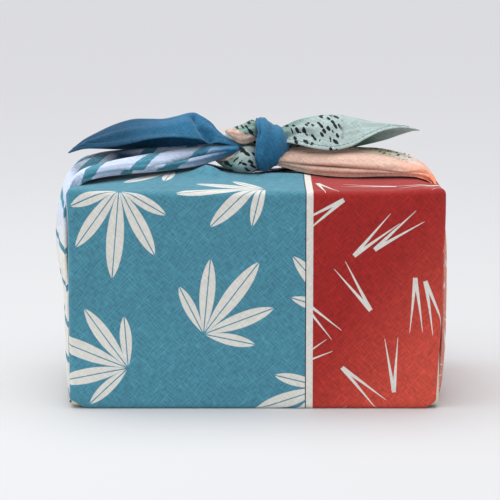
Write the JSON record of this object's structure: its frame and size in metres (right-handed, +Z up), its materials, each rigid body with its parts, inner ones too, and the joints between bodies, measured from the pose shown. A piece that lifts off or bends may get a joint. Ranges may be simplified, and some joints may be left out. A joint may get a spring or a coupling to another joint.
{
  "type": "furoshiki wrap on a box",
  "caption": "Square cloth folded round a box and tied on top in a flat square knot, with pleated sides, gathered necks and loose corner tails.",
  "frame": {"origin": "middle of the underside, where the wrapped box stands", "axes": "+Z up, +X along the box towards the right tail, front face towards -Y"},
  "size_m": [0.2821, 0.18, 0.2014],
  "materials": {
    "cotton_cloth": "matt slub cotton",
    "paperboard": "plain paperboard"
  },
  "bodies": {
    "root": {"furoshiki": "cotton_cloth", "wrapped_box": "paperboard"}
  },
  "joints": []
}
